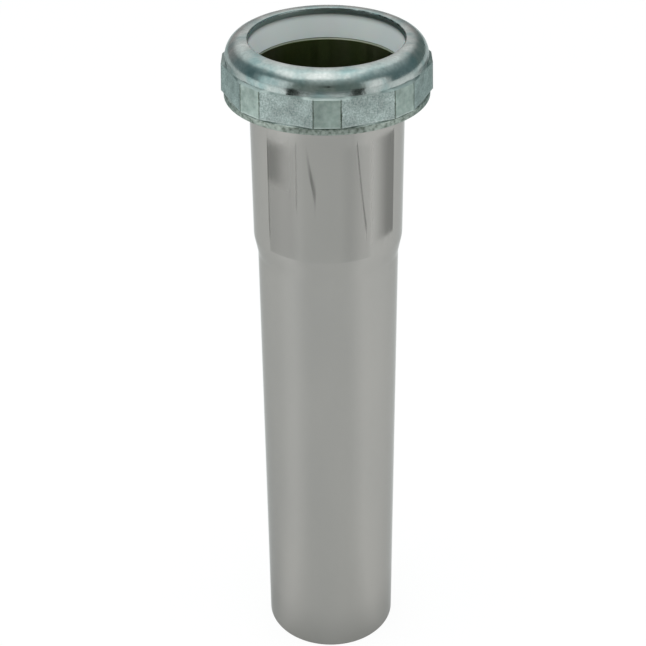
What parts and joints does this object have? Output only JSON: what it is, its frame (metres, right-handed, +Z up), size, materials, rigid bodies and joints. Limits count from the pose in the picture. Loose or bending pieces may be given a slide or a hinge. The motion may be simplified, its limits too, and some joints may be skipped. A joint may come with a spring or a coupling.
{
  "type": "basin waste tail pipe",
  "caption": "Slip-joint tail pipe of a basin waste: plated tube with a plain cut end and a swaged socket, closed by a flatted slip nut over a plastic sealing washer.",
  "frame": {"origin": "centre of the tube's cut lower end, on the surface that it stands on", "axes": "+Z up the tube towards the nut; a narrow flat of the nut faces -Y"},
  "size_m": [0.0448, 0.0448, 0.1587],
  "materials": {
    "chrome_plate": "polished plate on drawn brass, bare brass inside",
    "zinc_casting": "bright zinc, polished shoulder and as-cast flats",
    "white_plastic": "satin moulding"
  },
  "bodies": {
    "tube": {"extension_tube": "chrome_plate"},
    "washer": {"slip_washer": "white_plastic"},
    "nut": {"slip_nut": "zinc_casting"}
  },
  "joints": [
    {"name": "nut_lift", "type": "slide", "parent": "tube", "child": "washer", "axis": [0, 0, 1], "range_m": [0, 0.00553]},
    {"name": "nut_turn", "type": "hinge", "parent": "washer", "child": "nut", "pos_m": [0, 0, 0.1524], "axis": [0, 0, 1], "range_deg": [0, 900]}
  ],
  "couplings": [
    {"joint": "nut_lift", "follows": "nut_turn", "m_per_rad": 0.00035153}
  ]
}
